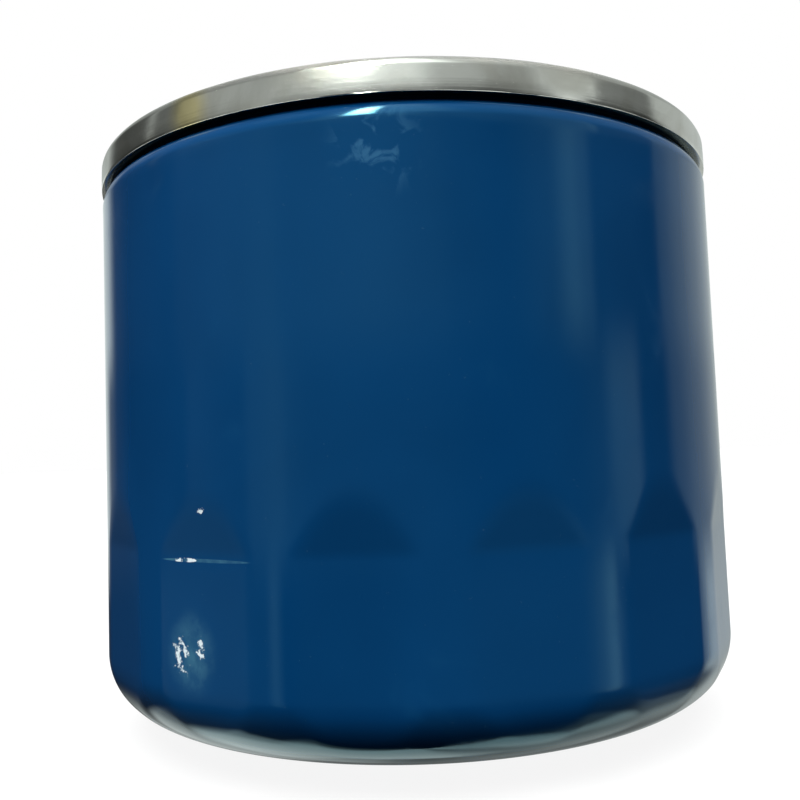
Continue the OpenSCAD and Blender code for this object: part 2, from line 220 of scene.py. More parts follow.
class NodeTree:
    """Short calls for building a tree of shader nodes."""

    def __init__(self, tree):
        self.tree = tree

    def add(self, kind, **settings):
        node = self.tree.nodes.new(kind)
        for key, value in settings.items():
            setattr(node, key, value)
        return node

    def link(self, source, target):
        self.tree.links.new(source, target)

    def feed(self, sockets, values):
        """Links each socket to another one, or gives it a constant."""
        for socket, value in zip(sockets, values):
            if isinstance(value, bpy.types.NodeSocket):
                self.link(value, socket)
            else:
                socket.default_value = value

    def maths(self, operation, *values):
        node = self.add("ShaderNodeMath", operation=operation)
        self.feed(node.inputs, values)
        return node.outputs[0]

    def vector(self, operation, *values):
        """A sum or product of vectors, or a vector's length or the distance of two as a plain value."""
        node = self.add("ShaderNodeVectorMath", operation=operation)
        self.feed(node.inputs, values)
        return node.outputs["Value" if operation in ("LENGTH", "DISTANCE") else "Vector"]

    def split(self, vector):
        node = self.add("ShaderNodeSeparateXYZ")
        self.link(vector, node.inputs[0])
        return node.outputs

    def joined(self, *values):
        node = self.add("ShaderNodeCombineXYZ")
        self.feed(node.inputs, values)
        return node.outputs[0]

    def spread(self, value, low, high, to_low=0.0, to_high=1.0):
        """Stretches a value's middle range over a new range, with soft ends."""
        node = self.add("ShaderNodeMapRange", interpolation_type="SMOOTHSTEP")
        self.link(value, node.inputs["Value"])
        for key, number in zip(("From Min", "From Max", "To Min", "To Max"), (low, high, to_low, to_high)):
            node.inputs[key].default_value = number
        return node.outputs["Result"]

    def mix(self, share, first, second):
        """A colour between two, each a colour or a socket."""
        node = self.add("ShaderNodeMix", data_type="RGBA")
        self.link(share, node.inputs["Factor"])
        for socket, value in ((node.inputs[6], first), (node.inputs[7], second)):
            if isinstance(value, bpy.types.NodeSocket):
                self.link(value, socket)
            else:
                socket.default_value = (*value, 1)
        return node.outputs[2]


class Nodes(NodeTree):
    """One material's nodes."""

    def __init__(self, name):
        self.material = bpy.data.materials.new(name)
        self.material.use_nodes = True
        super().__init__(self.material.node_tree)
        self.shader = self.tree.nodes["Principled BSDF"]
        self.place = self.add("ShaderNodeTexCoord").outputs["Object"]

    def put(self, **values):
        """Sets the shader's own sockets, named with spaces written as _."""
        for key, value in values.items():
            self.shader.inputs[key.replace("_", " ")].default_value = value

    def stretched(self, x, y, z):
        """Object coordinates scaled by a factor per axis."""
        return self.vector("MULTIPLY", self.place, (x, y, z))

    def hoops(self, around, across):
        """Coordinates for marks that run round the axis, on walls and on flat faces alike."""
        x, y, z = self.split(self.place)
        profile = self.maths("ADD", self.vector("LENGTH", self.joined(x, y)), z)
        scales = ((x, around), (y, around), (profile, across))
        return self.joined(*(self.maths("MULTIPLY", value, scale) for value, scale in scales))

    def noise(self, scale, detail=4.0, roughness=0.55, place=None, distortion=0.0):
        node = self.add("ShaderNodeTexNoise")
        self.link(place or self.place, node.inputs["Vector"])
        node.inputs["Scale"].default_value = scale
        node.inputs["Detail"].default_value = detail
        node.inputs["Roughness"].default_value = roughness
        node.inputs["Distortion"].default_value = distortion
        return node.outputs["Fac"]

    def near(self, centre, core, edge, squash=1.0):
        """1 round a place on the object, 0 beyond a distance; squash flattens the patch in height."""
        x, y, z = centre
        middle = (x * MM, y * MM, z * squash * MM)
        distance = self.vector("DISTANCE", self.stretched(1, 1, squash), middle)
        return self.spread(distance, core * MM, edge * MM, 1.0, 0.0)

    def bump(self, height, distance_mm, strength=1.0, under=None):
        node = self.add("ShaderNodeBump")
        node.inputs["Distance"].default_value = distance_mm * MM
        node.inputs["Strength"].default_value = strength
        self.link(height, node.inputs["Height"])
        if under:
            self.link(under, node.inputs["Normal"])
        return node.outputs["Normal"]

    def colour(self, socket):
        self.link(socket, self.shader.inputs["Base Color"])

    def roughness(self, socket):
        self.link(socket, self.shader.inputs["Roughness"])

    def normal(self, socket):
        self.link(socket, self.shader.inputs["Normal"])


# Places on the outside, in millimetres: where a painted highlight glow sits on the can below the shoulder's
# highlight, and a stain on the lid's ring
HIGHLIGHT_GLOW_SPOT = (-2.2, -37.9, 58.4)
RING_STAIN = (-20.6, -32.0, 64.8)
# Painted glints: near-white spots on the left flat, a line along its crease and a dot at its roof's tip,
# painted into the paint's colour as highlights: (place, core, edge, squash)
PAINTED_GLINTS = [
    ((-22.7, -30.1, 12.4), 0.2, 2.8, 0.6),
    ((-20.6, -31.6, 13.2), 0.1, 2.0, 0.8),
    ((-22.2, -30.5, FLAT_TOP - 0.6), 1.5, 2.1, 8.0),
    ((-20.1, -32.0, FLAT_TOP + 4.2), 0.0, 1.2, 1.0),
]
# Painted sheen: pale teal patches painted into the paint's colour round the glints and along the left
# flat's crease: (place, core, edge, squash, share)
PAINTED_SHEEN_SPOTS = [
    ((-21.6, -30.9, 12.6), 0.5, 3.8, 0.8, 0.35),
    ((-19.9, -31.9, FLAT_TOP - 0.6), 5.2, 6.0, 34.0, 0.38),
]


def blue_enamel():
    """Gloss stoving enamel: orange peel, wiped smudges, faint upright draw lines, dust and uneven gloss,
    with painted glints, painted sheen and a painted highlight glow in its colour.
    """
    deep_blue, light_blue = (0.0009, 0.038, 0.128), (0.0014, 0.044, 0.145)
    # Wiped paint, and a pale blue used as a painted highlight glow
    wiped_blue, glow_blue = (0.008, 0.075, 0.19), (0.040, 0.15, 0.29)
    # Dust; a teal used as painted sheen and a near-white used as painted glints
    dust_grey, sheen_teal, glint_white = (0.08, 0.15, 0.24), (0.10, 0.30, 0.38), (0.74, 0.84, 0.88)
    n = Nodes("blue_enamel")
    tone = n.noise(38, detail=3, distortion=0.4)
    smudge = n.noise(95, detail=6, roughness=0.62, distortion=0.8)
    streak = n.noise(1.0, detail=3, place=n.stretched(330, 330, 22))
    finish = n.mix(n.spread(tone, 0.35, 0.65), deep_blue, light_blue)
    finish = n.mix(n.spread(smudge, 0.60, 0.80, 0, 0.25), finish, wiped_blue)
    # A painted highlight glow: pale blue wisps in the paint's colour, below the shoulder's highlight
    glow_wisps = n.spread(n.noise(430, detail=5, distortion=1.0), 0.50, 0.68)
    glow_patch = n.maths("MULTIPLY", n.near(HIGHLIGHT_GLOW_SPOT, 1.0, 5.5), glow_wisps)
    finish = n.mix(n.maths("MULTIPLY", glow_patch, 0.6), finish, glow_blue)
    dust = n.noise(1900, detail=2, roughness=0.7)
    finish = n.mix(n.spread(dust, 0.70, 0.80, 0, 0.25), finish, dust_grey)
    # Painted sheen: pale teal round the glint spots and along the left flat's crease
    sheen_breakup = n.spread(n.noise(700, detail=3), 0.35, 0.65, 0.4, 1.0)
    for place, core, edge, squash, share in PAINTED_SHEEN_SPOTS:
        sheen_spot = n.maths("MULTIPLY", n.near(place, core, edge, squash), sheen_breakup)
        finish = n.mix(n.maths("MULTIPLY", sheen_spot, share), finish, sheen_teal)
    # Painted glints: near-white flecks, a crease line and a tip dot on the left flat
    glint_grain = n.noise(1400, detail=4, roughness=0.6)
    for place, core, edge, squash in PAINTED_GLINTS:
        reach = n.maths("MULTIPLY", n.near(place, core, edge, squash), 0.5)
        finish = n.mix(n.spread(n.maths("ADD", glint_grain, reach), 0.93, 1.02), finish, glint_white)
    n.colour(finish)
    worn, drawn = n.spread(smudge, 0.45, 0.8, 0.05, 0.20), n.spread(streak, 0.4, 0.7, 0.0, 0.03)
    n.roughness(n.maths("ADD", worn, drawn))
    peel = n.bump(n.noise(620, detail=2), 0.010, 0.35)
    n.normal(n.bump(streak, 0.012, 0.35, under=peel))
    n.put(Metallic=0.0, IOR=1.5, Specular_Tint=(0.3, 0.85, 1.0, 1))
    return n.material


def bright_tin():
    """Tin-plated lid: mirror-like, with rolled hoop marks, dull blotches, small dents and a stain."""
    n = Nodes("bright_tin")
    blotch = n.noise(120, detail=5, distortion=0.6)
    hoop = n.noise(1.0, detail=4, place=n.hoops(25, 2600))
    tint = n.mix(n.spread(blotch, 0.35, 0.7), (0.78, 0.77, 0.73), (0.60, 0.585, 0.53))
    tint = n.mix(n.spread(n.noise(60, detail=2), 0.55, 0.75, 0, 0.5), tint, (0.62, 0.57, 0.44))
    stain = n.maths("MULTIPLY", n.near(RING_STAIN, 0.8, 3.4, 0.8), 0.75)
    n.colour(n.mix(stain, tint, (0.80, 0.66, 0.26)))
    dull, rolled = n.spread(blotch, 0.4, 0.75, 0.10, 0.24), n.spread(hoop, 0.4, 0.8, 0.0, 0.08)
    n.roughness(n.maths("ADD", dull, rolled))
    dents = n.bump(n.noise(230, detail=3), 0.05, 0.30)
    n.normal(n.bump(hoop, 0.010, 0.4, under=dents))
    n.put(Metallic=1.0)
    return n.material


def plain_steel(name, light, dark, smooth, rough, oiled, grain):
    """Bare or plated sheet and bar: two tones, hoop-wise tool marks and uneven roughness."""
    n = Nodes(name)
    patch = n.noise(150, detail=6, roughness=0.6, distortion=0.5)
    hoop = n.noise(1.0, detail=4, place=n.hoops(60, grain))
    shade = n.mix(n.spread(patch, 0.3, 0.7), dark, light)
    n.colour(n.mix(n.spread(hoop, 0.3, 0.75, 0, 0.35), shade, dark))
    n.roughness(n.spread(patch, 0.3, 0.75, smooth, rough))
    pits = n.bump(n.noise(900, detail=4), 0.02, 0.35)
    n.normal(n.bump(hoop, 0.015, 0.35, under=pits))
    n.put(Metallic=1.0, Coat_Weight=oiled, Coat_Roughness=0.08)
    return n.material


def moulded_rubber(name, base, bloom, smooth, rough):
    """Moulded rubber: fine satin grain, pale bloom in patches and rings from the mould."""
    n = Nodes(name)
    cloud = n.noise(210, detail=5, distortion=0.3)
    ring_marks = n.noise(1.0, detail=2, place=n.hoops(15, 1400))
    n.colour(n.mix(n.spread(cloud, 0.45, 0.8, 0, 0.6), base, bloom))
    n.roughness(n.spread(cloud, 0.3, 0.7, smooth, rough))
    grain = n.bump(n.noise(3200, detail=2), 0.012, 0.5)
    n.normal(n.bump(ring_marks, 0.02, 0.4, under=grain))
    n.put(Metallic=0.0, IOR=1.52)
    return n.material


def resin_paper():
    """Cured filter paper: fibres, faint mottling and a fine emboss."""
    n = Nodes("resin_paper")
    fibre = n.noise(1.0, detail=5, roughness=0.7, place=n.stretched(2600, 2600, 500))
    mottle = n.noise(240, detail=4)
    sheet = n.mix(n.spread(mottle, 0.3, 0.7), (0.60, 0.44, 0.19), (0.74, 0.60, 0.32))
    n.colour(n.mix(n.spread(fibre, 0.5, 0.8, 0, 0.5), sheet, (0.82, 0.72, 0.48)))
    n.roughness(n.spread(fibre, 0.2, 0.8, 0.75, 0.95))
    n.normal(n.bump(fibre, 0.04, 0.6))
    return n.material


def cured_resin():
    """Plastisol: smooth, slightly yellow, with small bubbles."""
    n = Nodes("cured_resin")
    cells = n.add("ShaderNodeTexVoronoi", feature="SMOOTH_F1")
    n.link(n.place, cells.inputs["Vector"])
    cells.inputs["Scale"].default_value = 700
    cloud = n.noise(180, detail=4)
    n.colour(n.mix(n.spread(cloud, 0.3, 0.7), (0.66, 0.56, 0.34), (0.50, 0.40, 0.22)))
    n.roughness(n.spread(cloud, 0.3, 0.7, 0.35, 0.55))
    n.normal(n.bump(n.spread(cells.outputs["Distance"], 0.1, 0.5), 0.05, 0.4))
    return n.material


def studio_floor():
    """Pale light table, barely uneven, lit from inside so that shadows stay faint."""
    n = Nodes("studio_floor")
    n.colour(n.mix(n.noise(14, detail=2), (0.050, 0.050, 0.050), (0.055, 0.055, 0.055)))
    n.put(Roughness=0.9, Emission_Color=(1, 1, 1, 1), Emission_Strength=0.90)
    n.shader.inputs["Specular IOR Level"].default_value = 0.1
    return n.material


MATERIALS = {
    "can_paint": blue_enamel(),
    "lid_steel": bright_tin(),
    "cap_adhesive": cured_resin(),
    "filter_paper": resin_paper(),
}
# Plain steel: (slot, name, light tone, dark tone, least and most roughness, oil film, grain)
STEELS = [
    ("plate_steel", "oiled_plate", (0.44, 0.43, 0.41), (0.24, 0.235, 0.22), 0.28, 0.48, 0.35, 1500),
    ("weld_steel", "weld_nugget", (0.46, 0.44, 0.42), (0.20, 0.19, 0.18), 0.30, 0.55, 0.0, 300),
    ("cap_steel", "tinned_cap", (0.66, 0.66, 0.64), (0.46, 0.46, 0.45), 0.22, 0.42, 0.0, 1500),
    ("clip_steel", "folded_clip", (0.60, 0.60, 0.58), (0.42, 0.42, 0.41), 0.25, 0.45, 0.0, 1500),
    ("tube_steel", "perforated_strip", (0.56, 0.57, 0.56), (0.38, 0.38, 0.38), 0.28, 0.48, 0.0, 1500),
    ("valve_steel", "zinc_pressing", (0.60, 0.585, 0.50), (0.42, 0.42, 0.40), 0.25, 0.45, 0.0, 1500),
    ("rivet_steel", "plain_rivet", (0.62, 0.62, 0.60), (0.44, 0.44, 0.43), 0.2, 0.4, 0.0, 1500),
    ("spring_steel", "drawn_wire", (0.36, 0.36, 0.37), (0.20, 0.20, 0.21), 0.24, 0.42, 0.2, 1500),
]
# Rubber and compound: (slot, name, base tone, bloom tone, least and most roughness)
RUBBERS = [
    ("seam_compound", "seam_filler", (0.50, 0.46, 0.37), (0.62, 0.58, 0.48), 0.5, 0.7),
    ("gasket_rubber", "nitrile_gasket", (0.006, 0.006, 0.0065), (0.018, 0.0175, 0.017), 0.34, 0.54),
    ("diaphragm_rubber", "red_silicone", (0.21, 0.034, 0.012), (0.28, 0.070, 0.034), 0.38, 0.58),
    ("seal_rubber", "nitrile_washer", (0.014, 0.014, 0.014), (0.04, 0.04, 0.04), 0.4, 0.6),
]
for slot, *values in STEELS:
    MATERIALS[slot] = plain_steel(*values)
for slot, *values in RUBBERS:
    MATERIALS[slot] = moulded_rubber(*values)


def install(piece, node, slot, body):
    """Gives a piece its material, lets it stand for a CAD node and rides it on a body."""
    piece.data.materials.clear()
    piece.data.materials.append(MATERIALS[slot])
    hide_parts(node)
    if body:
        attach(piece, body)
    return piece


# ---------- can ----------


def dented(angle, radius, height):
    """Radius with the wrench flats pressed in; they fade out above the corner and end in a pointed roof."""
    pitch = 2 * math.pi / FLAT_COUNT
    from_flat = (angle + math.pi / 2 - FLAT_TURN + pitch / 2) % pitch - pitch / 2
    below_roof = soft_min(1 - (height - FLAT_TOP) / ROOF_H, np.ones_like(height), CREASE_SOFTNESS)
    above_foot = (height - FLAT_FOOT) / (FLAT_FULL - FLAT_FOOT)
    depth = FLAT_DEPTH * soft_min(below_roof, above_foot, CREASE_SOFTNESS)
    return soft_min(radius, (radius - depth) / np.cos(from_flat), FLAT_SOFTNESS)


def make_can():
    corner_centre = CAN_R - CORNER_R
    slope = math.degrees(DOME_SLOPE)
    dome_end = corner_centre + CORNER_R * math.sin(DOME_SLOPE)
    corner_z = (dome_end - FOOT_R) * math.tan(DOME_SLOPE) + CORNER_R * math.cos(DOME_SLOPE)
    hook_r, bend_z, hook_low = SEAM_R - 0.45, CAN_HIGH - CAN_T, SEAM_LOW + 0.6
    crease_low, crease_high = FLAT_TOP - 0.6, FLAT_TOP + 0.6
    roof_end = FLAT_TOP + ROOF_H + 1
    shoulder_centre = CAN_R - SHOULDER_R
    shoulder_turn = math.degrees(math.acos((NECK_R - shoulder_centre) / SHOULDER_R))
    wall_end = SHOULDER_Z - SHOULDER_R * math.sin(math.radians(shoulder_turn))

    # Rows stand close together where the flats' creases and roofs need them
    outside = [(0, 0)]
    outside += rows_between((4, 0), (FOOT_R - 1, 0), 3)
    outside += rows_between((FOOT_R + 1, math.tan(DOME_SLOPE)), (dome_end - 1, corner_z - CORNER_R), 3)[:-1]
    outside += arc(corner_centre, corner_z, CORNER_R, slope - 90, 0, 34)
    outside += rows_between((CAN_R, corner_z + 0.5), (CAN_R, crease_low), 0.6)
    outside += rows_between((CAN_R, crease_low + 0.1), (CAN_R, crease_high), 0.1)
    outside += rows_between((CAN_R, crease_high + 0.18), (CAN_R, roof_end), 0.18)
    outside += rows_between((CAN_R, roof_end + 1.5), (CAN_R, wall_end - 1), 1.5)
    outside += arc(shoulder_centre, wall_end, SHOULDER_R, 0, shoulder_turn, 24)
    outside += [(NECK_R, SHOULDER_Z + 0.1), (NECK_R, bend_z)]
    outside += [(hook_r - CAN_T, bend_z), (hook_r - CAN_T, hook_low), (hook_r, hook_low), (hook_r, bend_z)]
    outside += arc(hook_r - CAN_T, bend_z, CAN_T, 20, 90, 4)
    outside += arc(NECK_R, bend_z, CAN_T, 90, 180, 4)

    inner_r = CAN_R - CAN_T
    inside = arc(shoulder_centre, wall_end, SHOULDER_R - CAN_T, shoulder_turn, 0, 6)
    inside += rows_between((inner_r, wall_end - 1), (inner_r, roof_end), 4)
    inside += rows_between((inner_r, roof_end - 0.4), (inner_r, FLAT_TOP), 0.4)
    inside += rows_between((inner_r, FLAT_TOP - 1.5), (inner_r, corner_z + 0.5), 1.5)
    inside += arc(corner_centre, corner_z, CORNER_R - CAN_T, 0, slope - 90, 12)
    inside += [(FOOT_R, CAN_T), (0, CAN_T)]

    def shape(angle, radius, height):
        uneven = waves(angle, (2, 3, 5, 7), (0.4, 2.1, 4.0, 1.3))
        on_wall = np.clip((height - corner_z) / 6, 0, 1) * np.clip(wall_end - height, 0, 1)
        inward = UNEVEN_WALL * (1 + uneven) / 2 * on_wall
        return dented(angle, radius, height) - inward, height

    can = lathe("painted_can", outside + inside, segments=FLAT_COUNT * 48, shape=shape, sharp_degrees=60)
    return install(can, "can_shell", "can_paint", "housing")


# ---------- lid, base plate and gasket ----------


def make_lid():
    """Rolled lid: seam bead outside, chuck wall, gasket channel, raised rib and inner flange."""
    sheet = 0.4
    floor = LID_LOW
    top = floor + sheet
    inner, wall, outer = 25.8, 36.1, SEAM_R
    rib, rib_r = 30.3, 1.0
    hook_in, hook_out, hook_top = 36.7, 37.1, LID_HIGH - 1.35
    bend_r, fillet_r, curl_r = 0.4, 0.3, 0.25
    lip_r, bow, crown_r, bead_r = 0.1, 0.02, 1.0, 0.7

    # Underside from the inner flange to the lid's own hook in the seam
    outline = [(inner, floor + 0.1), (inner + 0.1, floor)]
    outline += rows_between((inner + 2, floor), (rib - rib_r + sheet, floor), 1)
    outline += arc(rib, top, rib_r - sheet, 180, 0, 10)
    outline += rows_between((rib + rib_r - sheet, floor), (wall - bend_r, floor), 1)
    outline += arc(wall - bend_r, floor + bend_r, bend_r, -80, 0, 4)
    outline += [(wall, LID_HIGH - sheet), (outer - sheet, LID_HIGH - sheet)]
    outline += [(outer - sheet, SEAM_LOW + sheet), (hook_out, SEAM_LOW + sheet)]
    outline += [(hook_out, hook_top), (hook_in, hook_top), (hook_in, SEAM_LOW + 0.3)]
    outline += arc(hook_in + curl_r, SEAM_LOW + curl_r, curl_r, 180, 270, 4)

    # Outer skin of the seam, slightly bowed, and its crown
    outline += arc(outer - lip_r - bow, SEAM_LOW + lip_r, lip_r, -88, 0, 6)
    wall_low, wall_high = SEAM_LOW + lip_r, LID_HIGH - 1.1
    for share in np.linspace(0.1, 0.9, 9):
        bowed = outer - bow * (1 - math.sin(math.pi * share))
        outline.append((bowed, wall_low + (wall_high - wall_low) * share))
    outline += arc(outer - bow - crown_r, wall_high, crown_r, 0, 84, 12)
    outline += [(outer - 1.15, LID_HIGH - 0.02), (outer - 1.35, LID_HIGH)]
    outline += arc(wall + 0.3, LID_HIGH - bead_r, bead_r, 90, 180, 8)

    # Top side: gasket channel, rib and inner flange
    chuck = wall - sheet
    outline += rows_between((chuck, LID_HIGH - 1.2), (chuck, top + 0.4), 0.6)
    outline += arc(chuck - fillet_r, top + fillet_r, fillet_r, 0, -90, 4)
    outline += rows_between((wall - 1.2, top), (rib + rib_r + 0.15, top), 1)
    outline += arc(rib, top, rib_r, 4, 176, 16)
    outline += rows_between((rib - rib_r - 0.15, top), (inner + 0.1, top), 0.6)
    outline += [(inner, top - 0.1)]

    def shape(angle, radius, height):
        rolled = waves(angle, (3, 8, 13, 29), (1.0, 0.3, 2.2, 4.1))
        swell = waves(angle, (2, 5, 11), (0.7, 3.1, 5.2))
        inward = ROLLED_DEPTH * (1 + rolled) / 2 + SWELL_DEPTH * (1 + swell) / 2 * (height - SEAM_LOW) / 3
        on_skin = (radius > outer - 0.75) * (height > SEAM_LOW + 0.05) * (height < LID_HIGH - 0.01)
        return radius - inward * on_skin, height

    lid = lathe("rolled_seam_lid", outline, segments=720, shape=shape, sharp_degrees=50)
    return install(lid, "seam_lid", "lid_steel", "housing")


def make_base_plate():
    """Thick plate with a cut M20 thread, a stepped collar and chamfered oil inlets."""
    edge = 0.5
    lead_in, lead_out = 1.25, 1.0
    crest_share, flank_share = 0.15, 0.7
    bore_low, bore_high = PLATE_LOW + 0.05, PLATE_HIGH - 0.05
    outline = rounded(
        [
            (THREAD_MAJOR_R + 0.2, PLATE_LOW),
            (COLLAR_R, PLATE_LOW),
            (COLLAR_R, BOSS_LOW),
            (BOSS_R, BOSS_LOW),
            (BOSS_R, PLATE_UNDER),
            (PLATE_R, PLATE_UNDER),
            (PLATE_R, PLATE_HIGH),
            (THREAD_MINOR_R + lead_in, PLATE_HIGH),
        ],
        [0, 0.3, 0.2, 0.4, 0.4, edge, edge, 0.15],
    )
    outline += rows_between((THREAD_MINOR_R, bore_high), (THREAD_MINOR_R, bore_low), 0.1)

    def shape(angle, radius, height):
        in_bore = radius < THREAD_MINOR_R + 0.01
        turn = height / THREAD_PITCH - angle / (2 * math.pi)
        tooth = np.abs((turn % 1) - 0.5) * 2
        cut = np.clip((tooth - crest_share) / flank_share, 0, 1) * (THREAD_MAJOR_R - THREAD_MINOR_R)
        mouth = THREAD_MINOR_R + lead_in - (bore_high - height)
        foot = THREAD_MINOR_R + lead_out - (height - bore_low)
        threaded = np.maximum(THREAD_MINOR_R + cut, np.maximum(mouth, foot))
        return np.where(in_bore, threaded, radius), height

    plate = lathe("threaded_base_plate", outline, segments=240, shape=shape, sharp_degrees=32)
    drill = inlet_drills()
    cut = plate.modifiers.new("inlets", "BOOLEAN")
    cut.operation = "DIFFERENCE"
    cut.solver = "EXACT"
    cut.object = drill
    apply_modifiers(plate)
    bpy.data.objects.remove(drill)
    plate.data.shade_smooth()
    plate.data.set_sharp_from_angle(angle=math.radians(30))
    return install(plate, "base_plate", "plate_steel", "housing")


def inlet_drills():
    """Eight drills with chamfers at both faces of the plate, as one mesh."""
    chamfer, overrun = 0.35, 0.2
    wide = INLET_R + chamfer + overrun
    low, high = PLATE_UNDER, PLATE_HIGH
    outline = [
        (0, low - 1),
        (wide, low - 1),
        (wide, low - overrun),
        (INLET_R, low + chamfer),
        (INLET_R, high - chamfer),
        (wide, high + overrun),
        (wide, high + 1),
        (0, high + 1),
    ]
    drill = lathe("drill", outline, segments=64)
    work = bmesh.new()
    for k in range(INLET_COUNT):
        turn = 2 * math.pi * k / INLET_COUNT
        copy = drill.data.copy()
        shift = Vector((math.cos(turn), math.sin(turn), 0)) * INLET_RING_R * MM
        copy.transform(Matrix.Translation(shift))
        work.from_mesh(copy)
        bpy.data.meshes.remove(copy)
    work.to_mesh(drill.data)
    work.free()
    return drill


def apply_modifiers(piece):
    """Replaces a piece's mesh by its evaluated one."""
    graph = bpy.context.evaluated_depsgraph_get()
    mesh = bpy.data.meshes.new_from_object(piece.evaluated_get(graph))
    piece.modifiers.clear()
    piece.data = mesh


def make_gasket():
    """Square-cut ring with rounded edges, a fine mould line outside and a shallow oil groove on top."""
    low, high, outer = GASKET_LOW, GASKET_HIGH, GASKET_R
    inner = outer - 3.5
    foot_r, crown_r = 0.35, 0.6
    middle = (low + high) / 2
    mould_line, mould_half = 0.07, 0.12
    groove, groove_depth, groove_half, groove_floor = (inner + outer) / 2, 0.12, 0.5, 0.2
    outline = arc(outer - foot_r, low + foot_r, foot_r, -90, 0, 5)
    outline += [(outer, middle - mould_half), (outer + mould_line, middle), (outer, middle + mould_half)]
    outline += arc(outer - crown_r, high - crown_r, crown_r, 0, 90, 8)
    outline += [(groove + groove_half, high), (groove + groove_floor, high - groove_depth)]
    outline += [(groove - groove_floor, high - groove_depth), (groove - groove_half, high)]
    outline += arc(inner + crown_r, high - crown_r, crown_r, 90, 180, 8)
    outline += rows_between((inner, high - 1), (inner, low + 0.8), 0.8)
    outline += arc(inner + foot_r, low + foot_r, foot_r, 180, 270, 5)
    gasket = lathe("moulded_gasket", outline, segments=288, sharp_degrees=40)
    return install(gasket, "mounting_gasket", "gasket_rubber", "housing")


# ---------- anti-drainback flap ----------


def make_flap():
    """Rubber cone with a thick hub and a thin lip at its rim; fine ribs stiffen the cone."""
    hub_in, hub_out = 12.25, 16.0
    sleeve_out = 13.7
    hub_low, hub_high = FLAP_LOW + 3.05, BOSS_LOW - 0.05
    lip_in = FLAP_R - 2.0
    cone_t = 1.1
    rib_height, rib_count = 0.07, 5
    cone_low, lip_low = hub_low + 0.4, FLAP_HIGH - 1.9
    corners = [
        (hub_in, FLAP_LOW),
        (sleeve_out, FLAP_LOW),
        (sleeve_out, hub_low),
        (hub_out, hub_low),
        (hub_out, cone_low),
        (lip_in, lip_low),
        (FLAP_R, lip_low + 0.5),
        (FLAP_R, FLAP_HIGH),
        (lip_in + 0.8, FLAP_HIGH),
        (lip_in, lip_low + cone_t),
        (hub_out, cone_low + cone_t),
        (hub_out, hub_high),
        (hub_in, hub_high),
    ]
    outline = rounded(corners, [0.2, 0.3, 0.2, 0.2, 0.15, 0.8, 0.5, 0.4, 0.4, 0.6, 0.3, 0.25, 0.2], 4)
    outline = densify(outline, 0.5)

    def shape(angle, radius, height):
        across = (radius - hub_out) / (lip_in - hub_out)
        on_cone = np.clip(np.minimum(across, 1 - across) * 6, 0, 1)
        return radius, height + rib_height * on_cone * np.cos(across * 2 * rib_count * math.pi)

    flap = lathe("rubber_flap", outline, segments=240, shape=shape, sharp_degrees=45)
    install(flap, "antidrain_diaphragm", "diaphragm_rubber", None)
    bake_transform(flap)
    return flap


def densify(outline, spacing):
    """Adds points to the long sides of a closed outline."""
    points = []
    for here, after in zip(outline, outline[1:] + outline[:1]):
        points += rows_between(here, after, spacing)[:-1]
    return points


# ---------- springs ----------


def tube_along(name, centres, wire_r, sides=14):
    """A round wire along a list of points round the Z axis, closed at both ends."""
    centres = np.array(centres, float)
    along = np.gradient(centres, axis=0)
    along /= np.linalg.norm(along, axis=1)[:, None]
    outward = centres * (1, 1, 0)
    outward /= np.linalg.norm(outward, axis=1)[:, None]
    upward = np.cross(outward, along)
    upward /= np.linalg.norm(upward, axis=1)[:, None]
    turn = np.linspace(0, 2 * math.pi, sides, endpoint=False)
    ring = np.cos(turn)[None, :, None] * outward[:, None] + np.sin(turn)[None, :, None] * upward[:, None]
    skin = centres[:, None] + wire_r * ring
    ends = [np.repeat(skin[k].mean(0)[None], sides, 0)[None] for k in (0, -1)]
    return grid_mesh(name, np.concatenate([ends[0], skin, ends[1]]), close_rows=False, sharp_degrees=50)


def make_coil_spring():
    """Closed and ground end turns with open turns between."""
    wire_r, turns, steps_per_turn = 0.6, 6, 48
    low, high = COIL_LOW + wire_r, COIL_HIGH - wire_r
    radius = COIL_R - wire_r
    end_turn, end_lift, clearance = 1 / turns, 0.055, 0.985
    centres = []
    for share in np.linspace(0, 1, turns * steps_per_turn + 1):
        angle = 2 * math.pi * turns * share
        lift = np.interp(share, (0, end_turn, 1 - end_turn, 1), (0, end_lift, 1 - end_lift, 1))
        centres.append((radius * math.cos(angle), radius * math.sin(angle), low + (high - low) * lift))
    coil = tube_along("bypass_coil", centres, wire_r * clearance)
    install(coil, "bypass_spring", "spring_steel", None)
    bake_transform(coil)
    return coil


def make_leaf_spring():
    """The support spring's own sheet shape, shaded smooth; its feet stay on the dome."""
    mesh = frame["nodes"]["support_spring"].data.copy()
    mesh.materials.clear()
    leaf = finish_mesh("support_leaf", mesh, sharp_degrees=25)
    install(leaf, "support_spring", "spring_steel", None)
    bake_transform(leaf)
    return leaf


# ---------- paper ----------


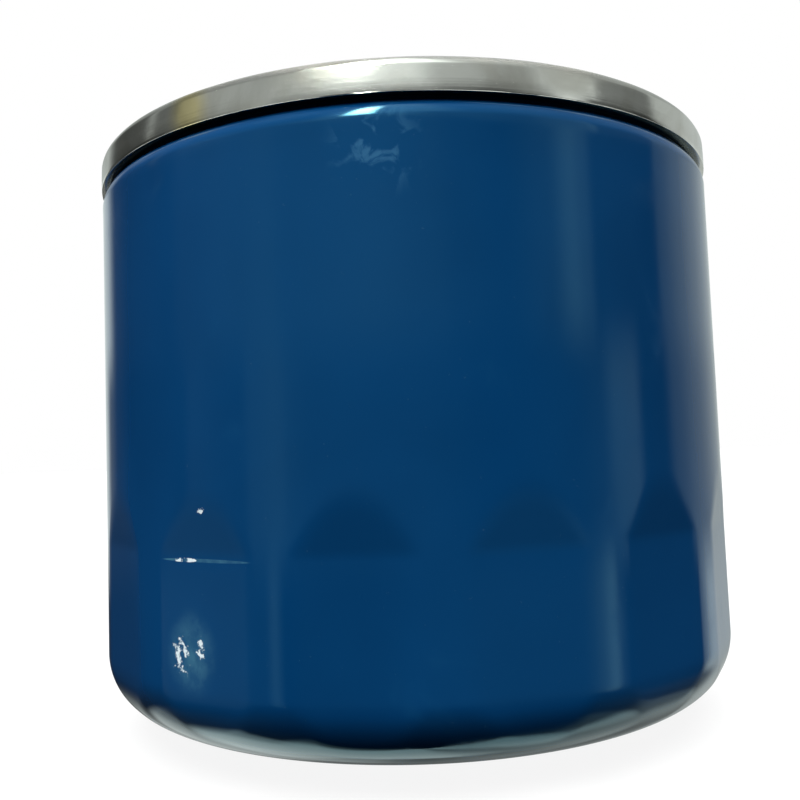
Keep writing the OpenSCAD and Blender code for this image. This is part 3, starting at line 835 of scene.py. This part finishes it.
def make_paper():
    """Pleats with rounded folds, as one closed band of even thickness."""
    pleats = 48
    sheet_t = 0.6
    per_pleat = 24
    fold_sharpness = 0.985
    outer, inner = PAPER_R - sheet_t / 2, 18.3
    t = np.linspace(0, pleats, pleats * per_pleat, endpoint=False)
    wave = np.arcsin(fold_sharpness * np.cos(2 * math.pi * t)) / math.asin(fold_sharpness)
    radius = (outer + inner) / 2 + (outer - inner) / 2 * wave
    angle = 2 * math.pi * t / pleats + math.pi / 2
    middle = np.stack([radius * np.cos(angle), radius * np.sin(angle)], -1)
    along = np.roll(middle, -1, 0) - np.roll(middle, 1, 0)
    side = np.stack([along[:, 1], -along[:, 0]], -1)
    side /= np.linalg.norm(side, axis=1)[:, None]
    heights = np.linspace(PAPER_LOW, PAPER_HIGH, 9)
    faces = []
    for offset, levels in ((sheet_t / 2, heights), (-sheet_t / 2, heights[::-1])):
        edge = middle + side * offset
        faces += [np.column_stack([edge, np.full(len(edge), z)]) for z in levels]
    paper = grid_mesh("folded_paper", np.stack(faces, 1), sharp_degrees=60)
    return install(paper, "pleated_media", "filter_paper", "element")


# ---------- the other CAD nodes keep their shape ----------


def dress_cad_nodes():
    slots = {part["node"]: part["material_slot"] for part in frame["record"]["subparts"]}
    for name, piece in frame["nodes"].items():
        piece.data.materials.clear()
        piece.data.materials.append(MATERIALS[slots[name]])


# ---------- studio ----------


def make_floor():
    """A wide pale disc."""
    radius = np.array([0, 30, 100, 300, 1000, 3000, 9000.0])
    angle = np.linspace(0, 2 * math.pi, 96, endpoint=False)[:, None]
    points = np.stack(np.broadcast_arrays(radius * np.cos(angle), radius * np.sin(angle), 0 * radius), -1)
    floor = grid_mesh("studio_floor", points, close_columns=False, sharp_degrees=60)
    floor.data.materials.append(studio_floor())
    floor.visible_glossy = False
    floor.visible_diffuse = False
    return floor


# How bright glossy surfaces see the room: (azimuth in degrees from the front towards +X, level).
# Each band reaches up to the next one; a band's two heights are where it fades in, in degrees.
ROOM_TINT = (0.95, 1.03, 1.0)
STRAIGHT_DOWN = [
    (-180, 2.2),
    (-107, 2.5),
    (-74, 0.35),
    (-60, 0.004),
    (55, 0.004),
    (70, 2.0),
    (107, 2.2),
    (143, 0.9),
    (180, 2.2),
]
STEEP = [
    (-180, 0.4),
    (-164, 1.0),
    (-156, 1.7),
    (-142, 2.3),
    (-118, 2.5),
    (-102, 1.4),
    (-89, 0.05),
    (-50, 0.004),
    (50, 0.004),
    (86, 0.4),
    (102, 1.7),
    (122, 0.95),
    (142, 1.0),
    (164, 0.6),
    (180, 0.4),
]
SLOPE = [
    (-180, 0.26),
    (-170, 0.28),
    (-163, 0.8),
    (-157, 1.0),
    (-148, 1.2),
    (-136, 1.2),
    (-124, 0.7),
    (-112, 0.09),
    (-76, 0.05),
    (-40, 0.004),
    (45, 0.004),
    (86, 0.1),
    (112, 0.5),
    (124, 1.0),
    (150, 0.35),
    (168, 0.35),
    (180, 0.26),
]
GROUND = [
    (-180, 0.13),
    (-168, 0.3),
    (-160, 0.6),
    (-154, 0.6),
    (-148, 0.4),
    (-140, 0.15),
    (-132, 0.03),
    (-80, 0.03),
    (-60, 0.005),
    (45, 0.005),
    (70, 0.06),
    (103, 0.1),
    (125, 0.3),
    (140, 0.9),
    (160, 0.5),
    (172, 0.3),
    (180, 0.13),
]
LOW_WALL = [
    (-180, 0.90),
    (-160, 0.10),
    (-150, 0.02),
    (-134, 0.02),
    (-98, 0.021),
    (-91, 0.17),
    (-72, 0.20),
    (-65, 0.11),
    (-52, 0.10),
    (-48.5, 0.56),
    (-45, 0.023),
    (-10, 0.094),
    (40, 0.12),
    (56, 0.29),
    (63, 0.47),
    (69, 1.2),
    (72.5, 0.18),
    (80, 0.033),
    (108, 0.031),
    (116, 0.45),
    (124, 1.2),
    (136, 0.86),
    (152, 0.52),
    (180, 0.90),
]
EYE_LEVEL = [
    (-180, 0.90),
    (-150, 0.80),
    (-140, 0.16),
    (-130, 0.04),
    (-118, 0.015),
    (-86, 0.043),
    (-80, 0.15),
    (-60, 0.11),
    (-55, 0.32),
    (-46, 0.44),
    (-40, 0.24),
    (-34, 0.18),
    (0, 0.14),
    (30, 0.024),
    (57, 0.080),
    (67, 0.16),
    (75, 0.55),
    (83, 0.52),
    (88, 0.032),
    (98, 0.031),
    (106, 0.29),
    (120, 0.44),
    (142, 0.56),
    (180, 0.90),
]
UPPER_WALL = [
    (-180, 0.92),
    (-143, 0.85),
    (-130, 0.07),
    (-118, 0.030),
    (-92, 0.05),
    (-82, 0.15),
    (-62, 0.28),
    (-47, 0.4),
    (-42, 0.31),
    (-10, 0.40),
    (8, 0.31),
    (20, 0.17),
    (34, 0.094),
    (50, 0.25),
    (60, 0.79),
    (65, 0.52),
    (70, 0.10),
    (98, 0.031),
    (102, 0.31),
    (114, 0.49),
    (124, 0.60),
    (142, 0.66),
    (180, 0.92),
]
RIM_HEIGHT = [
    (-180, 0.60),
    (-140, 0.46),
    (-126, 0.065),
    (-104, 0.085),
    (-99, 0.32),
    (-95, 0.12),
    (-87, 0.16),
    (-83, 0.33),
    (-74, 0.43),
    (-50, 0.38),
    (-36, 0.57),
    (-22, 1.1),
    (2, 0.90),
    (16, 0.48),
    (44, 0.34),
    (53, 0.57),
    (68, 0.61),
    (71, 0.80),
    (74, 0.22),
    (98, 0.17),
    (104, 0.50),
    (180, 0.60),
]
CEILING = [
    (-180, 0.50),
    (-100, 0.22),
    (-35, 0.33),
    (-20, 1.6),
    (8, 1.6),
    (30, 0.51),
    (100, 0.36),
    (180, 0.50),
]
ROOM_BANDS = [
    (-66, -60, STEEP),
    (-47, -41, SLOPE),
    (-32, -28, GROUND),
    (-23, -17, LOW_WALL),
    (-9, -4, EYE_LEVEL),
    (5, 11, UPPER_WALL),
    (22.2, 23.2, RIM_HEIGHT),
    (30, 40, CEILING),
]


class Room(NodeTree):
    """The world: white for the camera, an overhead sky for matt surfaces, a painted room for gloss."""

    def __init__(self):
        world = bpy.data.worlds.new("studio_room")
        bpy.context.scene.world = world
        world.use_nodes = True
        super().__init__(world.node_tree)
        self.tree.nodes.clear()
        x, y, z = self.split(self.add("ShaderNodeTexCoord").outputs["Generated"])
        turn = self.maths("ARCTAN2", x, self.maths("MULTIPLY", y, -1.0))
        # 0 to 1 for -180 to 180 degrees, with the front in the middle
        self.azimuth = self.maths("ADD", self.maths("DIVIDE", turn, 2 * math.pi), 0.5)
        self.elevation = self.maths("MULTIPLY", self.maths("ARCSINE", z), 180 / math.pi)
        # The upper bands sit lower at the sides and lowest at the back
        sinking = self.maths("MULTIPLY_ADD", y, 0.17, 1.17)
        self.seen_height = self.maths("MULTIPLY", self.elevation, sinking)

    def ramp(self, stops):
        """Brightness by azimuth."""
        node = self.add("ShaderNodeValToRGB")
        self.link(self.azimuth, node.inputs["Fac"])
        band = node.color_ramp
        band.interpolation = "EASE"
        for degrees, _ in stops[1:-1]:
            band.elements.new(0.5 + degrees / 360)
        for element, (_, level) in zip(band.elements, stops):
            element.color = (level, level, level, 1)
        return node.outputs["Color"]

    def panel(self, azimuth, core, edge, low_edge, low_core, high_core, high_edge, level):
        """An upright window; core and edge are half widths, the next four are heights, in degrees."""
        aside = self.maths("ABSOLUTE", self.maths("SUBTRACT", self.azimuth, 0.5 + azimuth / 360))
        across = self.spread(aside, edge / 360, core / 360)
        bottom = self.spread(self.elevation, low_edge, low_core)
        top = self.spread(self.elevation, high_edge, high_core)
        lit = self.maths("MULTIPLY", across, self.maths("MULTIPLY", bottom, top))
        return self.maths("MULTIPLY", lit, level)

    def background(self, colour):
        node = self.add("ShaderNodeBackground")
        self.feed(node.inputs, [colour])
        return node.outputs[0]

    def either(self, choice, first, second):
        node = self.add("ShaderNodeMixShader")
        self.feed(node.inputs, (choice, first, second))
        return node.outputs[0]


def make_world():
    r = Room()
    room = r.ramp(STRAIGHT_DOWN)
    for low, high, stops in ROOM_BANDS:
        height = r.elevation if high < 0 else r.seen_height
        room = r.mix(r.spread(height, low, high), room, r.ramp(stops))
    window = r.panel(
        azimuth=-15, core=2.5, edge=7.5, low_edge=28, low_core=40, high_core=54, high_edge=74, level=60
    )
    room = r.vector("MULTIPLY", r.vector("ADD", room, window), ROOM_TINT)

    sky_level, horizon_level = 9.6, 0.02
    sky = r.maths("MULTIPLY", r.spread(r.elevation, 35, 65), sky_level)
    sky = r.maths("ADD", sky, horizon_level)
    ray = r.add("ShaderNodeLightPath").outputs
    matt = r.either(ray["Is Camera Ray"], r.background(sky), r.background((1, 1, 1, 1)))
    surface = r.either(ray["Is Glossy Ray"], matt, r.background(room))
    r.link(surface, r.add("ShaderNodeOutputWorld").inputs["Surface"])


def make_light(name, azimuth, elevation, distance_mm, width_mm, power):
    """A square soft light that shines on the can and isn't mirrored in it."""
    light = bpy.data.lights.new(name, "AREA")
    light.shape = "SQUARE"
    light.size = width_mm * MM
    light.energy = power
    lamp = bpy.data.objects.new(name, light)
    bpy.context.scene.collection.objects.link(lamp)
    a, e = math.radians(azimuth), math.radians(elevation)
    way = Vector((math.sin(a) * math.cos(e), -math.cos(a) * math.cos(e), math.sin(e)))
    lamp.location = Vector((0, 0, CAN_HIGH / 2 * MM)) + way * distance_mm * MM
    lamp.rotation_euler = way.to_track_quat("Z", "Y").to_euler()
    lamp.visible_glossy = False
    lamp.visible_camera = False


def make_camera():
    """A close camera a little below mid-height, tipped up and rolled as the view asks."""
    distance = 3.0 * CAN_R
    height = 30.46
    yaw, pitch, roll = (math.radians(a) for a in (-0.65, 3.78, -2.09))
    forward = Vector((math.sin(yaw) * math.cos(pitch), math.cos(yaw) * math.cos(pitch), math.sin(pitch)))
    right = Vector((math.cos(yaw), -math.sin(yaw), 0))
    up = right.cross(forward)
    rolled_right = math.cos(roll) * right + math.sin(roll) * up
    rolled_up = math.cos(roll) * up - math.sin(roll) * right
    data = bpy.data.cameras.new("camera")
    data.sensor_width = 36
    data.lens = 38.97
    data.clip_start = 0.002
    camera = bpy.data.objects.new("camera", data)
    turn = Matrix((rolled_right, rolled_up, -forward)).transposed()
    camera.matrix_world = Matrix.Translation((0, -distance * MM, height * MM)) @ turn.to_4x4()
    bpy.context.scene.collection.objects.link(camera)
    bpy.context.scene.camera = camera


make_camera()
dress_cad_nodes()
make_can()
make_lid()
make_base_plate()
make_gasket()
make_flap()
make_coil_spring()
make_leaf_spring()
make_paper()
make_floor()
make_world()
make_light("overhead_softbox", azimuth=-35, elevation=60, distance_mm=520, width_mm=300, power=2.1)
bpy.context.scene.view_settings.view_transform = "Standard"
